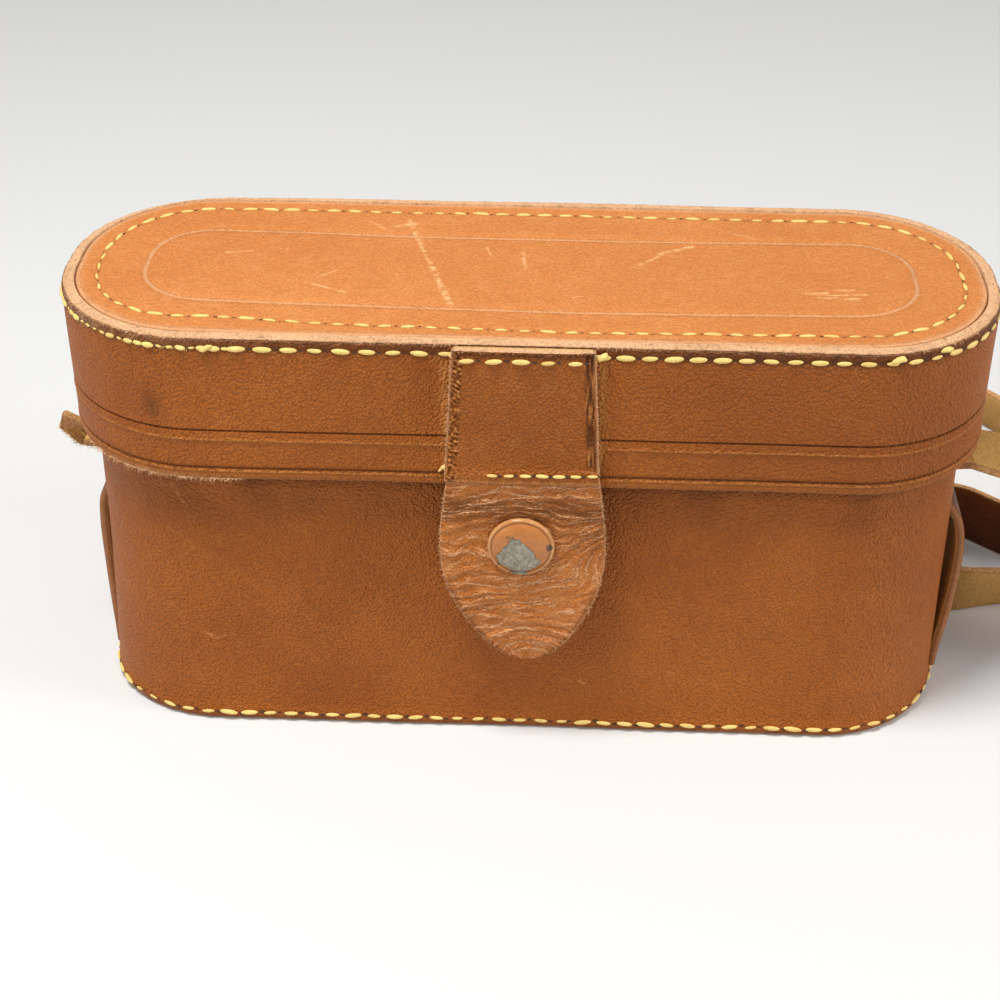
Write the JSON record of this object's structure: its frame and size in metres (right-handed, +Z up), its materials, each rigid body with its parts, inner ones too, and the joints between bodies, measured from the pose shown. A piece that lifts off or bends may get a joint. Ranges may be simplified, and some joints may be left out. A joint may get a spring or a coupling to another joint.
{
  "type": "camera case",
  "caption": "Oval leather camera case with a deep hinged lid, a front tab with a snap-fastened tongue and a carrying strap from both ends.",
  "frame": {"origin": "under the middle of the case, its free strap left out, on the surface that it stands on", "axes": "+Z up, front with the tab towards -Y, +X to the right seen from the front"},
  "size_m": [0.3337, 0.1654, 0.1075],
  "materials": {
    "wall_leather": "pebbled russet leather, worn",
    "top_leather": "smooth russet leather, scratched",
    "tab_leather": "darker pebbled leather",
    "tongue_leather": "soft wrinkled leather",
    "hinge_leather": "soft leather strip",
    "strap_leather": "grain outside, yellow suede flesh side",
    "inner_leather": "undyed moulded leather",
    "suede_lining": "brown suede cloth",
    "felt_pad": "felt",
    "thread": "waxed golden linen thread",
    "cap_paint": "tan enamel worn to grey metal",
    "snap_metal": "dull nickelled brass"
  },
  "bodies": {
    "case_body": {"body_wall": "wall_leather", "body_bottom_panel": "wall_leather", "body_bottom_tray": "inner_leather", "body_wall_lining": "suede_lining", "body_floor_pad": "felt_pad", "body_bottom_thread": "thread", "snap_stud": "snap_metal", "snap_washer": "snap_metal", "strap_end_right": "strap_leather", "strap_end_left": "strap_leather", "strap_end_threads": "thread", "hinge_leaf_lower": "hinge_leather", "hinge_thread_lower": "thread", "strap_lead_right": "strap_leather", "strap_loops": "strap_leather", "strap_lead_left": "strap_leather"},
    "lid": {"lid_wall": "wall_leather", "lid_top_panel": "top_leather", "lid_inner_cap": "inner_leather", "lid_wall_lining": "suede_lining", "lid_top_lining": "suede_lining", "lid_rim_thread": "thread", "lid_top_thread": "thread", "tab_upper": "tab_leather", "tab_thread_top": "thread", "tab_thread_bottom": "thread", "hinge_leaf_upper": "hinge_leather", "hinge_thread_upper": "thread"},
    "tongue": {"tab_tongue": "tongue_leather", "snap_cap": "cap_paint", "snap_socket": "snap_metal"}
  },
  "joints": [
    {"name": "lid_hinge", "type": "hinge", "parent": "case_body", "child": "lid", "pos_m": [0, 0.03925, 0.0715], "axis": [-1, 0, 0], "range_deg": [0, 180]},
    {"name": "tongue_bend", "type": "hinge", "parent": "lid", "child": "tongue", "pos_m": [0, -0.03675, 0.0741], "axis": [-1, 0, 0], "range_deg": [0, 150]}
  ]
}
